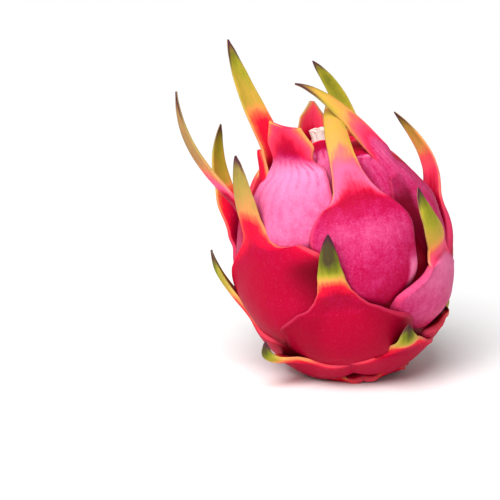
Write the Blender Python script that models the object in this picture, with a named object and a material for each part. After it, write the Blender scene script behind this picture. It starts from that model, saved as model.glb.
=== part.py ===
"""A whole red-skinned dragon fruit, as picked: an egg-shaped body clad in fleshy scales.

Every scale starts as a broad shield grown onto the body, lifts away from it, and runs out into a
narrow free blade. The crown at the top holds the pale stub of the flower.
Lengths are in metres. The origin is the middle of the flat spot that the fruit rests on, +Z is up,
and -Y is the front.
"""

import math
from collections import namedtuple

import bmesh
import bpy
from mathutils import Matrix, Vector

MM = 0.001

# The body
BODY_RADIUS = 45.5 * MM
BODY_TOP = 58 * MM       # from the widest ring up to where the top would close
BODY_BOTTOM = 52 * MM    # from the widest ring down to where the bottom would close
REST_CUT = 1.6 * MM      # how much of the bottom the flat spot takes away
REST_SHIFT = 1.8 * MM    # the flat spot's middle is this far left of the point below the centre
LEAN = math.radians(-8)  # the axis leans to the left, about +Y
NAVEL_RADIUS = 14 * MM
NAVEL_FLOOR_RADIUS = 9.5 * MM
NAVEL_DEPTH = 5 * MM
BODY_RINGS = 22
BODY_SIDES = 36
CENTRE = Vector((REST_SHIFT, 0, BODY_BOTTOM - REST_CUT))

# The scales
SHIELD_SHARE = 0.4       # the share of a scale's run that is grown onto the body
WIDEST_RUN = 0.28        # the share of its run at which a scale is widest
SHIELD_ROWS = 5
BLADE_ROWS = 9
SECTION_POINTS = 10
SHIELD_SWELL = 3.2 * MM  # how far the middle of a shield stands out of the body
ROOT_DEPTH = 4.5 * MM    # how deep a shield's back is sunk into the body
BLADE_HALF_THICKNESS = 1.2 * MM
POINT_HALF_THICKNESS = 0.5 * MM
RIM_LIFT = 1.8 * MM      # how far a shield's upper rim stands off the body
ROOT_SINK = 2.0 * MM     # how far a shield's lower rim is below the skin
SHINGLE = 1.6 * MM       # a shield's root is this far under the skin, and its top this far over it
NARROWING = 0.09         # the share of the run over which a trimmed end narrows
GUTTER = 1.9             # a blade's trough radius over its half width
LEAST_GUTTER = 4 * MM

# The flower's stub
STUB_RADIUS = 7 * MM
STUB_HEIGHT = 12.5 * MM
STUB_GAP = 0.3 * MM      # between the stub and the navel's floor
STUB_SIDES = 20

# turn: degrees round the axis from +X where the blade leaves the body, so -90 faces the front
# drift: degrees that the root is turned from there
# root, lift: latitudes where the shield starts and where the blade leaves the body
# half_width: the shield's; blade: the blade's half width; both in mm
# via: the point that the blade bows towards; tip: where it ends; both in mm from the body's centre
# aim: the way the tip points; twist: degrees that the blade has turned about its own run at the tip
# ease: how gradually the shield narrows into the blade
# kept: the share of the run that is left where the top was trimmed off; slant: the trimmed edge's slope
# narrow: the share by which a trimmed end narrows
# widest: the share of the run at which the shield is still widest
Scale = namedtuple("Scale",
                   "name turn root lift half_width blade via tip aim twist drift ease kept slant narrow widest",
                   defaults=[0, 0, 1, 1, 0, 0, WIDEST_RUN])

SCALES = [
    # the crown
    Scale("crown_left_tall", 152, 8, 50, 20, 7, (-42, 18, 64), (-52.7, 20, 98), (-0.25, 0, 1), 30),
    Scale("crown_front_trimmed", -126, -8, 48, 24, 14, (-30.5, -24, 63), (-36, -55, 106),
          (-0.15, -0.55, 0.83), kept=0.69, slant=-0.1, narrow=0.3),
    Scale("crown_front_small", -98, 14, 54, 13, 10, (-11.5, -22, 54), (-11.5, -14, 60), (0, 0.5, 0.87),
          kept=0.88),
    Scale("crown_right_small", -54, 14, 54, 13, 10, (9.5, -20.5, 51.5), (4.5, -13.5, 56.5), (-0.5, 0.6, 0.6),
          kept=0.8),
    Scale("crown_right_rear", 47, 2, 42, 18, 6.5, (12.5, 20, 52), (4, 12.5, 58.5), (-0.6, -0.7, 0.5)),
    Scale("crown_left_small", -168, 10, 46, 15, 6, (-38, -6, 47), (-39, -6, 54), (-0.1, 0, 1), kept=0.9),
    Scale("crown_back_tall", 62, 8, 54, 18, 5, (1, 25, 72), (-14.4, 24, 88), (-0.7, 0, 0.8), -20),
    Scale("crown_back_trimmed", 112, 8, 56, 16, 7.5, (-14, 22, 69), (-16, 20, 86), (-0.2, 0, 1), kept=0.74,
          narrow=0.8),
    # the shoulders
    Scale("front_strap", -79, -22, 33, 24.5, 6.7, (-9.5, -36, 66), (-8, 6, 71), (-0.1, 1, -0.15),
          ease=0.75, widest=0.32),
    Scale("right_strap", -33, -20, 43, 20, 6, (9.5, -23, 56), (-23.4, -16, 82.2), (-1, 0.05, 0.15), 25, 10,
          ease=0.9),
    Scale("left_long", -176, -14, 24, 20, 5, (-68, -6, 40), (-75, -6, 77.7), (0, 0, 1), -25),
    Scale("right_back", 15, -36, 16, 24, 5, (45.4, 18, 42), (22.5, 18, 65.5), (-0.7, -0.1, 0.7), -40),
    Scale("back_left_strap", 124, -18, 22, 22, 6.5, (-30, 48, 28), (-32, 59, 36), (-0.1, 0.4, 1)),
    Scale("back_right_strap", 80, -14, 30, 22, 7, (8, 50, 38), (6, 60, 46), (-0.2, 0.4, 1)),
    # round the middle
    Scale("left_back", 162, -28, 12, 19, 6, (-62, 16, 34), (-56, 18, 60), (0.2, 0, 1), 30),
    Scale("front_left", -144, -46, 13, 37, 7, (-47, -29, 31), (-49, -23, 52), (-0.1, 0.1, 1), -15, 22,
          ease=0.7, widest=0.34),
    Scale("right_low", -33, -40, 1, 28, 6, (40, -40, 20), (28.4, -40, 41), (-0.25, 0, 1), 20, ease=0.75),
    Scale("right_rear", 50, -28, 6, 21, 6, (40, 42, 18), (34.6, 43, 30), (-0.3, 0, 1)),
    Scale("rear", 102, -42, -4, 26, 7, (-12, 56, 8), (-14, 62, 26), (0, 0.2, 1)),
    # below the middle
    Scale("front_low", -98, -64, -12, 33, 7.5, (-10, -58, 2), (-10.2, -54, 23.5), (0, 0, 1)),
    Scale("front_right_low", -58, -74, -42, 26, 6.5, (25, -48, -28), (25, -47, -17), (0, -0.1, 1)),
    Scale("right_side_low", 4, -64, -34, 26, 7, (46, 4, -26), (47, 6, -13), (-0.1, 0, 1)),
    Scale("right_rear_low", 58, -60, -24, 24, 6.5, (26, 48, -12), (28, 52, 2), (0, 0.1, 1)),
    Scale("rear_left_low", 142, -54, -16, 25, 7, (-44, 40, -2), (-48, 44, 16), (-0.1, 0.1, 1)),
    Scale("left_side_low", -178, -62, -24, 26, 7, (-56, 0, -10), (-60, -2, 6), (-0.1, 0, 1)),
    Scale("front_left_low", -138, -74, -44, 26, 6, (-38, -36, -40), (-36, -34, -28), (0, 0, 1)),
    Scale("rear_low", 100, -74, -42, 26, 6, (-8, 46, -36), (-8, 50, -24), (0, 0.1, 1)),
]

# The short scales round the foot
FOOT_SCALES = 5
FOOT_TURN = 20
FOOT_ROOT, FOOT_LIFT = -84, -64
FOOT_HALF_WIDTH, FOOT_BLADE = 14, 4.5
FOOT_REACH = 10

FULL_SHIELD = 24         # the half width that SHIELD_SWELL and ROOT_DEPTH are for, in mm


def body_profile(latitude):
    """Radius and height on the plain egg, before the navel, the lean and the flat spot."""
    t = math.radians(latitude)
    reach = BODY_TOP if latitude > 0 else BODY_BOTTOM
    return BODY_RADIUS * math.cos(t), reach * math.sin(t)


def leaned(point):
    return Matrix.Rotation(LEAN, 3, "Y") @ Vector(point)


def skin_point(turn, latitude):
    radius, height = body_profile(latitude)
    a = math.radians(turn)
    return leaned((radius * math.cos(a), radius * math.sin(a), height))


def skin_normal(turn, latitude):
    t = math.radians(latitude)
    a = math.radians(turn)
    reach = BODY_TOP if latitude > 0 else BODY_BOTTOM
    flat = math.cos(t) / BODY_RADIUS
    return leaned((flat * math.cos(a), flat * math.sin(a), math.sin(t) / reach)).normalized()


def between(x, keys):
    """Reads a smooth curve through (x, value) keys."""
    if x <= keys[0][0]:
        return keys[0][1]
    for (x0, y0), (x1, y1) in zip(keys, keys[1:]):
        if x <= x1:
            s = (x - x0) / (x1 - x0)
            return y0 + (y1 - y0) * s * s * (3 - 2 * s)
    return keys[-1][1]


def straight(x, keys):
    """Reads straight runs through (x, value) keys."""
    for (x0, y0), (x1, y1) in zip(keys, keys[1:]):
        if x <= x1:
            return y0 + (y1 - y0) * max(0, (x - x0) / (x1 - x0))
    return keys[-1][1]


def half_width(scale, run):
    """Half the width across the rims: a broad shield that runs out into a narrow blade."""
    if run < scale.widest:
        shield = between(run, [(0, 0.5), (0.2, 1), (scale.widest, 1)])
    else:
        shoulder = WIDEST_RUN + (run - scale.widest) / scale.ease
        shield = straight(shoulder, [(0.28, 1), (0.32, 0.9), (0.36, 0.7), (0.4, 0.46), (0.44, 0.27),
                                     (0.5, 0.12), (0.58, 0.04), (0.68, 0)])
    blade = straight(run, [(0, 1), (0.5, 1), (0.72, 0.8), (0.86, 0.56), (0.95, 0.3), (1, 0.05)])
    trim = scale.narrow * straight(run, [(scale.kept - NARROWING, 0), (scale.kept, 1)])
    return (scale.blade * blade + (scale.half_width - scale.blade) * shield) * MM * (1 - trim)


def swell(scale, run):
    """How far the face of a scale stands out of its middle surface."""
    high = BLADE_HALF_THICKNESS
    shield = SHIELD_SWELL * scale.half_width / FULL_SHIELD
    return between(run, [(0, 0.3 * MM), (0.22, shield), (0.5, high), (0.8, high),
                         (1, POINT_HALF_THICKNESS)])


def backing(run):
    """How far the back of a scale is behind its middle surface."""
    low = BLADE_HALF_THICKNESS
    return between(run, [(0, ROOT_DEPTH), (0.3, ROOT_DEPTH), (0.46, low), (0.8, low),
                         (1, POINT_HALF_THICKNESS)])


def rim_rise(run):
    """How far the rims stand off the line that hugs the body: sunk at the root, proud at the lift."""
    return between(run, [(0, -ROOT_SINK), (0.2, -0.3 * ROOT_SINK), (0.36, RIM_LIFT), (0.5, 0.0)])


def shield_place(scale, run):
    """The turn and latitude of the skin under the shield's middle."""
    share = min(1, run / SHIELD_SHARE)
    return scale.turn + scale.drift * (1 - share), scale.root + (scale.lift - scale.root) * share


def shield_bend(scale, run):
    """The radius that the body bends to across the scale."""
    turn, latitude = shield_place(scale, run)
    radius, _ = body_profile(latitude)
    normal = skin_normal(turn, latitude)
    upright = leaned((0, 0, 1))
    level = math.sqrt(max(0.05, 1 - normal.dot(upright) ** 2))
    return radius / level


def blade_curve(points, share):
    """A Bezier curve through its first and last control points."""
    order = len(points) - 1
    return sum((math.comb(order, i) * (1 - share) ** (order - i) * share ** i * point
                for i, point in enumerate(points)), Vector())


def centre_line(scale, run):
    """The middle of the scale at a share of its run, from the body's centre."""
    if run <= SHIELD_SHARE:
        turn, latitude = shield_place(scale, run)
        tilt = SHINGLE * (2 * run / SHIELD_SHARE - 1)
        return skin_point(turn, latitude) + skin_normal(turn, latitude) * tilt
    start = centre_line(scale, SHIELD_SHARE)
    heading = (start - centre_line(scale, SHIELD_SHARE - 0.01)).normalized()
    via, tip = Vector(scale.via) * MM, Vector(scale.tip) * MM
    aim = Vector(scale.aim).normalized()
    near = start + heading * 0.35 * (via - start).length
    far = tip - aim * 0.45 * (tip - via).length
    share = (run - SHIELD_SHARE) / (1 - SHIELD_SHARE)
    return blade_curve([start, near, via, far, tip], share)


def section(scale, run, points):
    """One closed loop round the scale at a share of its run."""
    step = 0.004
    middle = centre_line(scale, run)
    along = (centre_line(scale, run + step) - centre_line(scale, run - step)).normalized()
    a = math.radians(shield_place(scale, run)[0])
    side = leaned((-math.sin(a), math.cos(a), 0))
    side = (side - along * side.dot(along)).normalized()
    twist = math.radians(scale.twist) * between(run, [(SHIELD_SHARE - 0.05, 0), (0.75, 1)])
    side = Matrix.Rotation(-twist, 3, along) @ side
    out = side.cross(along)
    wide = half_width(scale, run)
    trough = max(GUTTER * wide, LEAST_GUTTER)
    bend = between(run, [(SHIELD_SHARE - 0.05, shield_bend(scale, run)), (0.55, trough)])
    slope = scale.slant * between(run, [(SHIELD_SHARE, 0), (scale.kept, 1)])
    loop = []
    for k in range(points):
        turn = 2 * math.pi * k / points
        across = math.cos(turn)
        face = math.sin(turn)
        depth = swell(scale, run) if face > 0 else backing(run)
        rise = math.copysign(abs(face) ** 0.7, face) * depth + rim_rise(run) * across ** 2
        angle = across * wide / bend
        loop.append(middle + side * bend * math.sin(angle) + along * slope * across * wide
                    - out * bend * (1 - math.cos(angle)) + out * rise)
    return loop


def mesh_from_rings(name, rings):
    """A closed skin over rings of equal length, with a flat cap at each end."""
    n = len(rings[0])
    vertices = [tuple(point + CENTRE) for ring in rings for point in ring]
    faces = [
        (r * n + k, r * n + (k + 1) % n, (r + 1) * n + (k + 1) % n, (r + 1) * n + k)
        for r in range(len(rings) - 1)
        for k in range(n)
    ]
    faces.append(tuple(range(n))[::-1])
    faces.append(tuple(range((len(rings) - 1) * n, len(rings) * n)))
    mesh = bpy.data.meshes.new(name)
    mesh.from_pydata(vertices, [], faces)
    tidy = bmesh.new()
    tidy.from_mesh(mesh)
    bmesh.ops.recalc_face_normals(tidy, faces=tidy.faces)
    if tidy.calc_volume(signed=True) < 0:
        bmesh.ops.reverse_faces(tidy, faces=tidy.faces)
    bmesh.ops.triangulate(tidy, faces=tidy.faces)
    tidy.to_mesh(mesh)
    tidy.free()
    return mesh


def scale_mesh(scale, shield_rows=SHIELD_ROWS, blade_rows=BLADE_ROWS, points=SECTION_POINTS):
    runs = [SHIELD_SHARE * r / shield_rows for r in range(shield_rows)]
    blade = scale.kept - SHIELD_SHARE
    runs += [SHIELD_SHARE + blade * r / (blade_rows - 1) for r in range(blade_rows)]
    runs[0] += 0.005
    return mesh_from_rings(scale.name, [section(scale, run, points) for run in runs])


def ring_about_axis(radius, height, sides):
    turns = (2 * math.pi * k / sides for k in range(sides))
    return [leaned((radius * math.cos(a), radius * math.sin(a), height)) for a in turns]


def body_mesh(rings=BODY_RINGS, sides=BODY_SIDES):
    """The egg, up to the navel's rim and down the navel's wall to its flat floor."""
    rim = math.degrees(math.acos(NAVEL_RADIUS / BODY_RADIUS))
    latitudes = [-88 + (rim + 88) * r / (rings - 1) for r in range(rings)]
    loops = [ring_about_axis(*body_profile(latitude), sides) for latitude in latitudes]
    loops.append(ring_about_axis(NAVEL_FLOOR_RADIUS, navel_floor(), sides))
    return mesh_from_rings("fruit", loops)


def navel_floor():
    """The floor's height up the leaned axis."""
    rim = math.degrees(math.acos(NAVEL_RADIUS / BODY_RADIUS))
    return body_profile(rim)[1] - NAVEL_DEPTH


def stub_mesh(sides=STUB_SIDES):
    """The foot of the withered flower: a fluted cup, trimmed level."""
    foot = navel_floor() + STUB_GAP
    outline = [(0.78, 0), (0.95, 0.12), (1, 0.35), (0.9, 0.7), (0.95, 1), (0.62, 1), (0.5, 0.72)]
    loops = [ring_about_axis(STUB_RADIUS * wide, foot + STUB_HEIGHT * up, sides) for wide, up in outline]
    return mesh_from_rings("flower_stub", loops)


def add_object(name, mesh):
    thing = bpy.data.objects.new(name, mesh)
    bpy.context.scene.collection.objects.link(thing)
    return thing


def clear_scene():
    for thing in list(bpy.data.objects):
        bpy.data.objects.remove(thing)


def foot_scales():
    """Short scales that lie close round the foot."""
    for k in range(FOOT_SCALES):
        turn = FOOT_TURN + 360 * k / FOOT_SCALES
        end = skin_point(turn, FOOT_LIFT + FOOT_REACH) / MM
        out = skin_normal(turn, FOOT_LIFT + FOOT_REACH)
        via = skin_point(turn, FOOT_LIFT + FOOT_REACH / 2) / MM + out
        yield Scale(f"foot_{k + 1}", turn, FOOT_ROOT, FOOT_LIFT, FOOT_HALF_WIDTH, FOOT_BLADE,
                    via, end + out * 2.5, out + Vector((0, 0, 1)))


def paint(thing, name, colour, roughness):
    """Gives the object its own material."""
    material = bpy.data.materials.new(name)
    material.use_nodes = True
    shader = material.node_tree.nodes["Principled BSDF"]
    shader.inputs["Base Color"].default_value = (*colour, 1)
    shader.inputs["Roughness"].default_value = roughness
    shader.inputs["Metallic"].default_value = 0
    thing.data.materials.clear()
    thing.data.materials.append(material)


def apply_modifiers(thing):
    graph = bpy.context.evaluated_depsgraph_get()
    mesh = bpy.data.meshes.new_from_object(thing.evaluated_get(graph))
    thing.modifiers.clear()
    thing.data = mesh


def join_scales(fruit):
    """One union of every scale with the body."""
    scales = bpy.data.collections.new("scales")
    bpy.context.scene.collection.children.link(scales)
    for scale in [*SCALES, *foot_scales()]:
        scales.objects.link(bpy.data.objects.new(scale.name, scale_mesh(scale)))
    union = fruit.modifiers.new("Union", "BOOLEAN")
    union.operation = "UNION"
    union.solver = "MANIFOLD"
    union.operand_type = "COLLECTION"
    union.collection = scales
    apply_modifiers(fruit)
    for thing in list(scales.objects):
        bpy.data.objects.remove(thing)
    bpy.data.collections.remove(scales)


def cut_flat_spot(fruit):
    """Takes away everything under the ground."""
    shape = bmesh.new()
    bmesh.ops.create_cube(shape, size=4 * BODY_RADIUS)
    bmesh.ops.translate(shape, verts=shape.verts, vec=(0, 0, -2 * BODY_RADIUS))
    mesh = bpy.data.meshes.new("ground")
    shape.to_mesh(mesh)
    shape.free()
    ground = add_object("ground", mesh)
    cut = fruit.modifiers.new("Flat spot", "BOOLEAN")
    cut.operation = "DIFFERENCE"
    cut.solver = "MANIFOLD"
    cut.object = ground
    apply_modifiers(fruit)
    bpy.data.objects.remove(ground)


def keep_outer_skin(mesh):
    """Fills the hollows that the union sealed and drops its scraps: only the largest skin stays."""
    shape = bmesh.new()
    shape.from_mesh(mesh)
    bmesh.ops.triangulate(shape, faces=shape.faces)
    left = set(shape.faces)
    skins = []
    while left:
        skin = {left.pop()}
        front = skin
        while front:
            front = {face for known in front for edge in known.edges for face in edge.link_faces} - skin
            skin = skin | front
        left -= skin
        skins.append(skin)
    outer = max(skins, key=len)
    scraps = [face for face in shape.faces if face not in outer]
    bmesh.ops.delete(shape, geom=scraps, context="FACES")
    shape.to_mesh(mesh)
    shape.free()


def main():
    clear_scene()
    fruit = add_object("fruit", body_mesh())
    join_scales(fruit)
    cut_flat_spot(fruit)
    keep_outer_skin(fruit.data)
    fruit.data.shade_smooth()
    fruit.data.set_sharp_from_angle(angle=math.radians(40))
    paint(fruit, "skin", (0.72, 0.03, 0.14), 0.42)
    stub = add_object("flower_stub", stub_mesh())
    paint(stub, "withered_flower", (0.78, 0.62, 0.5), 0.7)


if __name__ == "__main__":
    main()
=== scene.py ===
# %% [markdown]
# # A whole dragon fruit
# The fruit stands upright on a small flat spot. Its body is an egg. Fleshy scales have grown onto it,
# and each one runs out into a free blade that turns from red to yellow, green and brown at the tip.
# The packed model is the fixed frame: this script dresses it with finer skin, and doesn't move or
# resize it. All lengths are metres, +Z is up and -Y is the front.

import math
from collections import namedtuple

import bmesh
import bpy
from mathutils import Matrix, Vector, noise


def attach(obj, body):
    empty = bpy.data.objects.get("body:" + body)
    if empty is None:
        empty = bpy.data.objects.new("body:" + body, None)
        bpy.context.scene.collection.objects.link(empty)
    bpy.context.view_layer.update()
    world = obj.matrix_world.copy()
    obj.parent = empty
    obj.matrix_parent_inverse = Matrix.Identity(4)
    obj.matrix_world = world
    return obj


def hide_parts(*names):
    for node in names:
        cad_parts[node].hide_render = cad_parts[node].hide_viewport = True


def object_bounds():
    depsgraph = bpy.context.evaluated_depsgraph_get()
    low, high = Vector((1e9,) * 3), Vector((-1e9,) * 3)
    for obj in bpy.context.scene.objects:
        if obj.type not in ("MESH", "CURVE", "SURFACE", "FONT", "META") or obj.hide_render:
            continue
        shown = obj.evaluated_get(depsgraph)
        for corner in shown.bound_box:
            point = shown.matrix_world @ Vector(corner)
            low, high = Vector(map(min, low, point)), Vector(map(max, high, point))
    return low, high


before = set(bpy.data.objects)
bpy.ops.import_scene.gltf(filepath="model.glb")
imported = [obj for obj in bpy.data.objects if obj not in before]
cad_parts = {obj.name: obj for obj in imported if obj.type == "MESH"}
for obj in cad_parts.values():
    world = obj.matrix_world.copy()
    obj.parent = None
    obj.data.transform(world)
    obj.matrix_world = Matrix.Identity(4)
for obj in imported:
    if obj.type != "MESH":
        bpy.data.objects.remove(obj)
cad_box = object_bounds()
print("frame nodes:", sorted(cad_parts), "box:", [tuple(corner) for corner in cad_box])

# %% [markdown]
# ## The camera
# The camera looks down at about 12 degrees from a little under a metre away, with a long lens, so the
# blades near it aren't enlarged. The fruit stands right of the picture's middle, as it does in the
# photograph. Aiming beside the fruit keeps the lens shift at zero.

# %% Place the camera
MM = 0.001
PIXELS = 500
PIXEL_SIZE = 0.45 * MM       # the width of one pixel at the fruit's axis
CAMERA_DISTANCE = 0.80
CAMERA_ELEVATION = math.radians(12)
SENSOR_MM = 36
FRUIT_PIXEL = (345, 262)     # where the body's centre falls in the picture
BODY_CENTRE = Vector((1.8 * MM, 0, 50.4 * MM))


def add_object(name, data):
    """Puts a new object into the scene."""
    thing = bpy.data.objects.new(name, data)
    bpy.context.scene.collection.objects.link(thing)
    return thing


right = Vector((1, 0, 0))
back = Vector((0, -math.cos(CAMERA_ELEVATION), math.sin(CAMERA_ELEVATION)))
up = Vector((0, math.sin(CAMERA_ELEVATION), math.cos(CAMERA_ELEVATION)))
aside = (PIXELS / 2 - FRUIT_PIXEL[0]) * PIXEL_SIZE
above = (FRUIT_PIXEL[1] - PIXELS / 2) * PIXEL_SIZE
target = BODY_CENTRE + right * aside + up * above

camera = add_object("camera", bpy.data.cameras.new("camera"))
camera.location = target + back * CAMERA_DISTANCE
camera.rotation_euler = (-back).to_track_quat("-Z", "Y").to_euler()
camera.data.sensor_width = SENSOR_MM
camera.data.lens = SENSOR_MM * CAMERA_DISTANCE / (PIXELS * PIXEL_SIZE)
bpy.context.scene.camera = camera
print("camera at", tuple(round(x, 3) for x in camera.location), "lens", round(camera.data.lens), "mm")

# %% [markdown]
# ## The form of the body
# The body is an egg whose upper half is a little longer than its lower half, leaned to the left.
# Places on it are named by a turn round the axis and a latitude, as on a globe, because the scales
# grow in rings and spirals round that axis.

# %% Places on the egg
BODY_RADIUS = 45.5 * MM
BODY_TOP = 58 * MM
BODY_BOTTOM = 52 * MM
LEAN = math.radians(-8)
NAVEL_RADIUS = 14 * MM
NAVEL_FLOOR_RADIUS = 9.5 * MM
NAVEL_DEPTH = 5 * MM
NAVEL_LATITUDE = math.degrees(math.acos(NAVEL_RADIUS / BODY_RADIUS))


def leaned(point):
    return Matrix.Rotation(LEAN, 3, "Y") @ Vector(point)


def body_profile(latitude):
    """Radius and height on the plain egg."""
    t = math.radians(latitude)
    reach = BODY_TOP if latitude > 0 else BODY_BOTTOM
    return BODY_RADIUS * math.cos(t), reach * math.sin(t)


def skin_point(turn, latitude):
    radius, height = body_profile(latitude)
    a = math.radians(turn)
    return leaned((radius * math.cos(a), radius * math.sin(a), height))


def skin_normal(turn, latitude):
    t, a = math.radians(latitude), math.radians(turn)
    reach = BODY_TOP if latitude > 0 else BODY_BOTTOM
    flat = math.cos(t) / BODY_RADIUS
    return leaned((flat * math.cos(a), flat * math.sin(a), math.sin(t) / reach)).normalized()


def between(x, keys):
    """Reads a smooth curve through (x, value) keys."""
    if x <= keys[0][0]:
        return keys[0][1]
    for (x0, y0), (x1, y1) in zip(keys, keys[1:]):
        if x <= x1:
            s = (x - x0) / (x1 - x0)
            return y0 + (y1 - y0) * s * s * (3 - 2 * s)
    return keys[-1][1]


def straight(x, keys):
    """Reads straight runs through (x, value) keys."""
    for (x0, y0), (x1, y1) in zip(keys, keys[1:]):
        if x <= x1:
            return y0 + (y1 - y0) * max(0, (x - x0) / (x1 - x0))
    return keys[-1][1]


print("the navel's rim is at latitude", round(NAVEL_LATITUDE, 1))

# %% [markdown]
# ## The scales' places
# One row says where a scale grows, how broad its shield is and where its blade ends. The free blades
# differ from one another, so each tip has its own place. The same table shapes the solids of the
# packed model, so the fine skin lies where they are.

# %% The table of scales
WIDEST_RUN = 0.28
# turn: degrees round the axis from +X where the blade leaves the body, so -90 faces the front
# drift: degrees that the root is turned from there
# root, lift: latitudes where the shield starts and where the blade leaves the body
# half_width: the shield's; blade: the blade's half width; both in mm
# via: the point that the blade bows towards; tip: where it ends; both in mm from the body's centre
# aim: the way the tip points; twist: degrees that the blade has turned about its own run at the tip
# ease: how gradually the shield narrows into the blade
# kept: the share of the run that is left where the top was trimmed off; slant: the trimmed edge's slope
# narrow: the share by which a trimmed end narrows
# widest: the share of the run at which the shield is still widest
Scale = namedtuple(
    "Scale", "name turn root lift half_width blade via tip aim twist drift ease kept slant narrow widest",
    defaults=[0, 0, 1, 1, 0, 0, WIDEST_RUN])

CROWN = [
    Scale("crown_left_tall", 152, 8, 50, 20, 7, (-42, 18, 64), (-52.7, 20, 98), (-0.25, 0, 1), 30),
    Scale("crown_front_trimmed", -126, -8, 48, 24, 14, (-30.5, -24, 63), (-36, -55, 106),
          (-0.15, -0.55, 0.83), kept=0.69, slant=-0.1, narrow=0.3),
    Scale("crown_front_small", -98, 14, 54, 13, 10, (-11.5, -22, 54), (-11.5, -14, 60), (0, 0.5, 0.87),
          kept=0.88),
    Scale("crown_right_small", -54, 14, 54, 13, 10, (9.5, -20.5, 51.5), (4.5, -13.5, 56.5), (-0.5, 0.6, 0.6),
          kept=0.8),
    Scale("crown_right_rear", 47, 2, 42, 18, 6.5, (12.5, 20, 52), (4, 12.5, 58.5), (-0.6, -0.7, 0.5)),
    Scale("crown_left_small", -168, 10, 46, 15, 6, (-38, -6, 47), (-39, -6, 54), (-0.1, 0, 1), kept=0.9),
    Scale("crown_back_tall", 62, 8, 54, 18, 5, (1, 25, 72), (-14.4, 24, 88), (-0.7, 0, 0.8), -20),
    Scale("crown_back_trimmed", 112, 8, 56, 16, 7.5, (-14, 22, 69), (-16, 20, 86), (-0.2, 0, 1), kept=0.74,
          narrow=0.8),
]
SHOULDERS = [
    Scale("front_strap", -79, -22, 33, 24.5, 6.7, (-9.5, -36, 66), (-8, 6, 71), (-0.1, 1, -0.15),
          ease=0.75, widest=0.32),
    Scale("right_strap", -33, -20, 43, 20, 6, (9.5, -23, 56), (-23.4, -16, 82.2), (-1, 0.05, 0.15), 25, 10,
          ease=0.9),
    Scale("left_long", -176, -14, 24, 20, 5, (-68, -6, 40), (-75, -6, 77.7), (0, 0, 1), -25),
    Scale("right_back", 15, -36, 16, 24, 5, (45.4, 18, 42), (22.5, 18, 65.5), (-0.7, -0.1, 0.7), -40),
    Scale("back_left_strap", 124, -18, 22, 22, 6.5, (-30, 48, 28), (-32, 59, 36), (-0.1, 0.4, 1)),
    Scale("back_right_strap", 80, -14, 30, 22, 7, (8, 50, 38), (6, 60, 46), (-0.2, 0.4, 1)),
]
MIDDLE = [
    Scale("left_back", 162, -28, 12, 19, 6, (-62, 16, 34), (-56, 18, 60), (0.2, 0, 1), 30),
    Scale("front_left", -144, -46, 13, 37, 7, (-47, -29, 31), (-49, -23, 52), (-0.1, 0.1, 1), -15, 22,
          ease=0.7, widest=0.34),
    Scale("right_low", -33, -40, 1, 28, 6, (40, -40, 20), (28.4, -40, 41), (-0.25, 0, 1), 20, ease=0.75),
    Scale("right_rear", 50, -28, 6, 21, 6, (40, 42, 18), (34.6, 43, 30), (-0.3, 0, 1)),
    Scale("rear", 102, -42, -4, 26, 7, (-12, 56, 8), (-14, 62, 26), (0, 0.2, 1)),
]
LOW = [
    Scale("front_low", -98, -64, -12, 33, 7.5, (-10, -58, 2), (-10.2, -54, 23.5), (0, 0, 1)),
    Scale("front_right_low", -58, -74, -42, 26, 6.5, (25, -48, -28), (25, -47, -17), (0, -0.1, 1)),
    Scale("right_side_low", 4, -64, -34, 26, 7, (46, 4, -26), (47, 6, -13), (-0.1, 0, 1)),
    Scale("right_rear_low", 58, -60, -24, 24, 6.5, (26, 48, -12), (28, 52, 2), (0, 0.1, 1)),
    Scale("rear_left_low", 142, -54, -16, 25, 7, (-44, 40, -2), (-48, 44, 16), (-0.1, 0.1, 1)),
    Scale("left_side_low", -178, -62, -24, 26, 7, (-56, 0, -10), (-60, -2, 6), (-0.1, 0, 1)),
    Scale("front_left_low", -138, -74, -44, 26, 6, (-38, -36, -40), (-36, -34, -28), (0, 0, 1)),
    Scale("rear_low", 100, -74, -42, 26, 6, (-8, 46, -36), (-8, 50, -24), (0, 0.1, 1)),
]

FOOT_SCALES = 5
FOOT_TURN = 20
FOOT_ROOT, FOOT_LIFT = -84, -64
FOOT_HALF_WIDTH, FOOT_BLADE = 14, 4.5
FOOT_REACH = 10              # degrees of latitude that the blades run on past the lift
FOOT_STAND_OFF = 2.5         # how far their tips stand off the skin, in mm


def foot_scales():
    """Short scales that lie close round the foot."""
    for k in range(FOOT_SCALES):
        turn = FOOT_TURN + 360 * k / FOOT_SCALES
        end = skin_point(turn, FOOT_LIFT + FOOT_REACH) / MM
        out = skin_normal(turn, FOOT_LIFT + FOOT_REACH)
        via = skin_point(turn, FOOT_LIFT + FOOT_REACH / 2) / MM + out
        yield Scale(f"foot_{k + 1}", turn, FOOT_ROOT, FOOT_LIFT, FOOT_HALF_WIDTH, FOOT_BLADE,
                    via, end + out * FOOT_STAND_OFF, out + Vector((0, 0, 1)))


RINGS = {"crown_scales": CROWN, "shoulder_scales": SHOULDERS, "middle_scales": MIDDLE,
         "low_scales": [*LOW, *foot_scales()]}
print({name: len(scales) for name, scales in RINGS.items()}, "scales")

# %% [markdown]
# ## How one scale is shaped
# A scale has a shield, which hugs the body, and a blade, which leaves it. Its middle line follows the
# skin up to the lift and then a Bezier curve to the tip. At each place along that line the section is
# a lens: a swollen face, a flatter back and two rims. These functions give the numbers for one row.

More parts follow.
